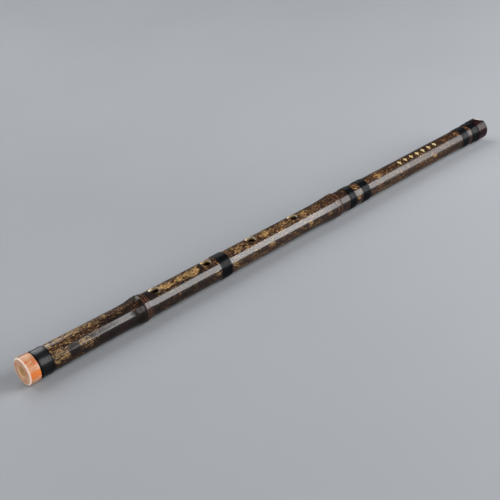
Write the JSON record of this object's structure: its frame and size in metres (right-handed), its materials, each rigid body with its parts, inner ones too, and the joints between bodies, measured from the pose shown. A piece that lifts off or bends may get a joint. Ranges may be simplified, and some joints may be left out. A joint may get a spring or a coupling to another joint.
{
  "type": "bamboo flute",
  "caption": "End-blown bamboo flute in two sections, with finger holes, a thumb hole, black thread bindings, a translucent foot ferrule and an oblique blowing edge.",
  "frame": {"origin": "centre of the bore at the foot's end face", "axes": "+X along the bore from the foot to the mouth, +Z out through the front finger holes"},
  "size_m": [0.545, 0.024, 0.024],
  "materials": {
    "bamboo": "dark mottled bamboo skin under a glossy clear lacquer",
    "ferrule": "polished translucent resin in salmon and amber streaks",
    "thread": "black thread, wound tight and sealed to a satin gloss",
    "brass": "plain drawn brass tube",
    "mouth_wood": "very dark red-brown hardwood, polished",
    "inlay": "polished bone-coloured resin",
    "gold": "gold leaf pressed into shallow cuts"
  },
  "bodies": {
    "lower": {"lower_section": "bamboo", "foot_ferrule": "ferrule", "foot_binding": "thread", "middle_binding": "thread", "lower_joint_binding": "thread", "lower_joint_liner": "brass"},
    "sleeve": {"joint_sleeve": "brass"},
    "upper": {"upper_section": "bamboo", "upper_joint_liner": "brass", "upper_joint_binding": "thread", "mouth_lower_binding": "thread", "mouth_upper_binding": "thread", "mouth_ring": "mouth_wood", "blowing_edge_inlay": "inlay", "gold_ornaments": "gold"}
  },
  "joints": [
    {"name": "joint_twist", "type": "hinge", "parent": "lower", "child": "sleeve", "pos_m": [0.3587, 0, 0], "axis": [1, 0, 0], "continuous": true},
    {"name": "joint_pull", "type": "slide", "parent": "sleeve", "child": "upper", "axis": [1, 0, 0], "range_m": [0, 0.06]}
  ]
}
